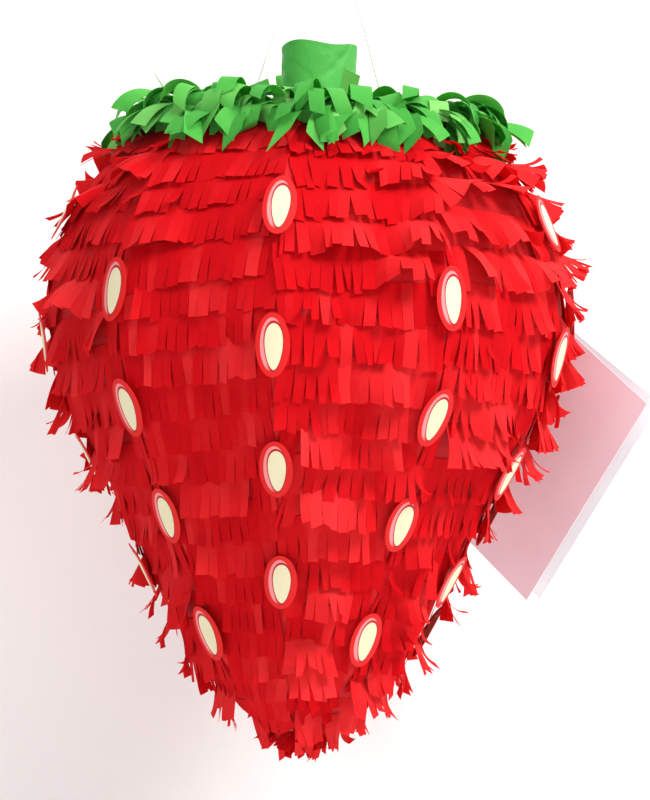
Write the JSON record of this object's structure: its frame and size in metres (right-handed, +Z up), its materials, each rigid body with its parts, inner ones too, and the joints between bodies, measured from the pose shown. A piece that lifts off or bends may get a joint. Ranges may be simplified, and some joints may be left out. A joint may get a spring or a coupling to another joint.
{
  "type": "hanging strawberry pinata",
  "caption": "Strawberry-shaped cardboard pinata under red tissue fringe, with stem, calyx, card seeds, fill flap, folded label and a hanging string.",
  "frame": {"origin": "the hook's seat, inside the top of the hanging string's loop", "axes": "+Z up along the hanging axis; -Y is the front; the string's two strands lie in the XZ plane"},
  "size_m": [0.3593, 0.3081, 0.5274],
  "materials": {
    "corrugated_card": "matte",
    "paper_tape": "matte",
    "red_tissue": "matte",
    "seed_card": "matte",
    "tube_card": "matte",
    "green_paper": "matte",
    "green_tissue": "matte",
    "string": "matte",
    "label_card": "satin",
    "nylon": "satin"
  },
  "bodies": {
    "hanger": {"hanging_string": "string", "gathering_knot": "string", "stopper_knots": "string"},
    "shell": {"panel_01": "corrugated_card", "panel_02": "corrugated_card", "panel_03": "corrugated_card", "panel_04": "corrugated_card", "panel_05": "corrugated_card", "panel_06": "corrugated_card", "panel_07": "corrugated_card", "panel_08": "corrugated_card", "panel_09": "corrugated_card", "panel_10": "corrugated_card", "ridge_tapes": "paper_tape", "top_disc": "corrugated_card", "string_plate": "corrugated_card", "tip_cap": "corrugated_card", "red_fringe_01": "red_tissue", "red_fringe_02": "red_tissue", "red_fringe_03": "red_tissue", "red_fringe_04": "red_tissue", "red_fringe_05": "red_tissue", "red_fringe_06": "red_tissue", "red_fringe_07": "red_tissue", "red_fringe_08": "red_tissue", "red_fringe_09": "red_tissue", "red_fringe_10": "red_tissue", "tip_fringe": "red_tissue", "seeds_01": "seed_card", "seeds_02": "seed_card", "seeds_03": "seed_card", "seeds_04": "seed_card", "seeds_05": "seed_card", "seeds_06": "seed_card", "seeds_07": "seed_card", "seeds_08": "seed_card", "seeds_09": "seed_card", "seeds_10": "seed_card", "stem_tube": "tube_card", "stem_cap": "tube_card", "stem_wrap": "green_paper", "calyx_outer_coil": "green_tissue", "calyx_middle_coil": "green_tissue", "calyx_inner_coil": "green_tissue"},
    "fill_flap": {"fill_flap": "corrugated_card", "flap_fringe": "red_tissue"},
    "label": {"label_leaf": "label_card", "tag_pin": "nylon"},
    "label_cover": {"label_cover": "label_card"}
  },
  "joints": [
    {"name": "string_rock", "type": "hinge", "parent": "hanger", "child": "shell", "pos_m": [0, 0, -0.1755], "axis": [1, 0, 0], "range_deg": [-20, 20]},
    {"name": "fill_flap_crease", "type": "hinge", "parent": "shell", "child": "fill_flap", "pos_m": [-0.02439, 0.12547, -0.221], "axis": [0.9816, 0.1908, 0], "range_deg": [0, 100]},
    {"name": "label_swing", "type": "hinge", "parent": "shell", "child": "label", "pos_m": [0.13495, 0.09486, -0.284], "axis": [0.682, 0.7314, 0], "range_deg": [-90, 90]},
    {"name": "label_fold", "type": "hinge", "parent": "label", "child": "label_cover", "pos_m": [0.12765, 0.10262, -0.27651], "axis": [0.4215, -0.3931, 0.8172], "range_deg": [-2, 165]}
  ]
}
